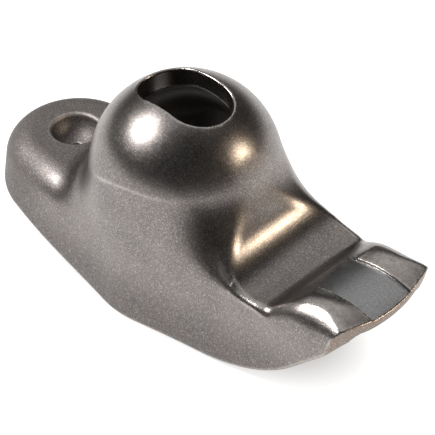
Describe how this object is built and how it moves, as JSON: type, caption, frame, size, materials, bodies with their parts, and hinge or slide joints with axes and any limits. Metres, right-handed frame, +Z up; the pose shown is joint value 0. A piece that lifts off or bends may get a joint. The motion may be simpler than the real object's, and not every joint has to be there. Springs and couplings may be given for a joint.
{
  "type": "rocker arm",
  "caption": "One-piece stamped steel rocker arm with a ball-seat dome and stud slot, a pushrod cup at one end and a crowned valve pad between guide rails at the other.",
  "frame": {"origin": "centre of the ball seat inside the dome", "axes": "+X along the arm to the valve tip, +Y across the arm, +Z up through the dome and its stud slot"},
  "size_m": [0.0791, 0.031, 0.0346],
  "materials": {
    "stamped_steel": "tumbled, faintly oiled, burnished on the raised edges"
  },
  "bodies": {
    "root": {"rocker_arm": "stamped_steel"}
  },
  "joints": []
}
